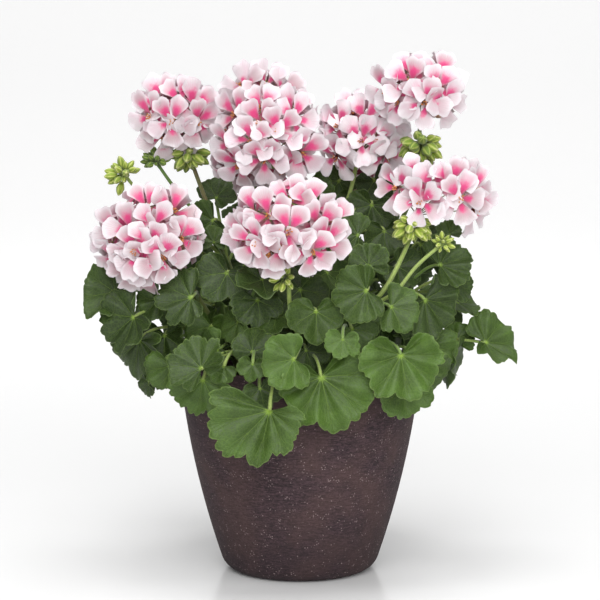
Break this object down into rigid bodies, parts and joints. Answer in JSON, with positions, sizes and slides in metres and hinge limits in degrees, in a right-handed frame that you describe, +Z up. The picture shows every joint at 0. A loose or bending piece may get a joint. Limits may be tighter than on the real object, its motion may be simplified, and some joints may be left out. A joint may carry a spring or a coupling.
{
  "type": "potted zonal geranium",
  "caption": "Bushy geranium with round scalloped leaves and ball-shaped heads of white florets with pink blotches, in a plain dark tapered pot.",
  "frame": {"origin": "centre of the pot's flat base, where it stands", "axes": "+Z up along the pot's axis, -Y the front of the plant, +X its right as seen from the front"},
  "size_m": [0.4519, 0.3913, 0.5504],
  "materials": {
    "pot": "matte",
    "soil": "matte",
    "foliage": "satin",
    "petals": "matte"
  },
  "bodies": {
    "root": {"pot": "pot", "soil": "soil", "leafy_stem_front_left": "foliage", "leafy_stem_front": "foliage", "leafy_stem_front_right": "foliage", "leafy_stem_left": "foliage", "leafy_stem_right": "foliage", "leafy_stem_centre": "foliage", "leafy_stem_back_left": "foliage", "leafy_stem_back": "foliage", "leafy_stem_back_right": "foliage", "bloom_centre_top": "petals", "bloom_back_top": "petals", "bloom_left_top": "petals", "bloom_left": "petals", "bloom_front": "petals", "bloom_right_top": "petals", "bloom_far_right_top": "petals", "bloom_right": "petals", "bloom_behind_left": "petals", "bloom_behind_right": "petals"}
  },
  "joints": []
}
